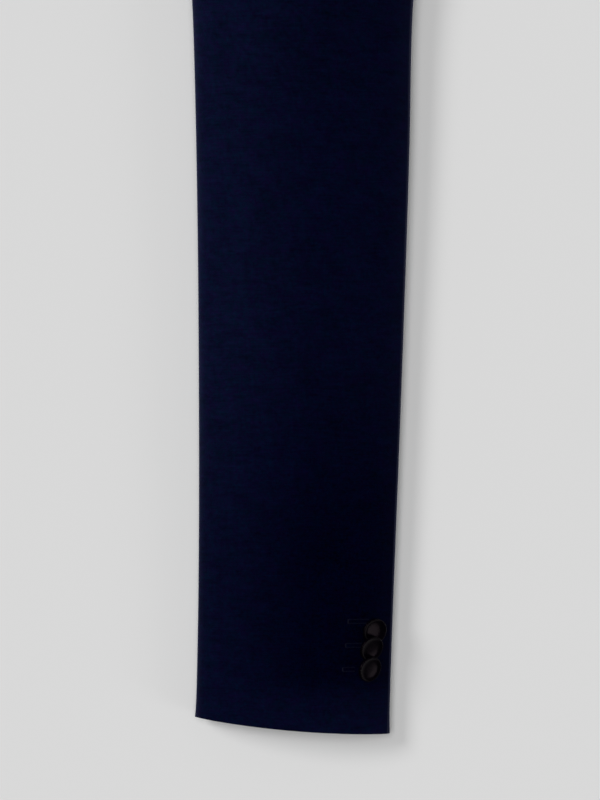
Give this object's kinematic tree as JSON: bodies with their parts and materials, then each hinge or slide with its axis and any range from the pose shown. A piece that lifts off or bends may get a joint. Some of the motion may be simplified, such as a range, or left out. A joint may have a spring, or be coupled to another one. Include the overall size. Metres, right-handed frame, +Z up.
{
  "type": "tuxedo jacket",
  "caption": "Midnight blue tuxedo jacket with a satin shawl collar, laid flat face up with its sleeves drawn out and satin covered buttons overlapping at each cuff.",
  "frame": {"origin": "on the resting surface, under the middle of the jacket's box", "axes": "+Z up from the surface, +Y from hem to collar, +X to the wearer's left"},
  "size_m": [1.53, 0.7714, 0.0536],
  "materials": {
    "dinner_suiting": "fine smooth midnight blue worsted wool, soft low sheen",
    "satin": "black silk satin, soft gloss",
    "satin_buttons": "black satin drawn over a domed button mould",
    "lining": "black cupro lining, light gloss"
  },
  "bodies": {
    "root": {"front_left": "dinner_suiting", "side_left": "dinner_suiting", "back_left": "dinner_suiting", "top_sleeve_left": "dinner_suiting", "under_sleeve_left": "dinner_suiting", "shawl_left": "satin", "hip_jet_upper_left": "satin", "hip_jet_lower_left": "satin", "cuff_button_left_1": "satin_buttons", "cuff_button_left_2": "satin_buttons", "cuff_button_left_3": "satin_buttons", "front_right": "dinner_suiting", "side_right": "dinner_suiting", "back_right": "dinner_suiting", "top_sleeve_right": "dinner_suiting", "under_sleeve_right": "dinner_suiting", "shawl_right": "satin", "hip_jet_upper_right": "satin", "hip_jet_lower_right": "satin", "cuff_button_right_1": "satin_buttons", "cuff_button_right_2": "satin_buttons", "cuff_button_right_3": "satin_buttons", "back_lining": "lining", "breast_welt": "dinner_suiting", "front_button": "satin_buttons"}
  },
  "joints": []
}
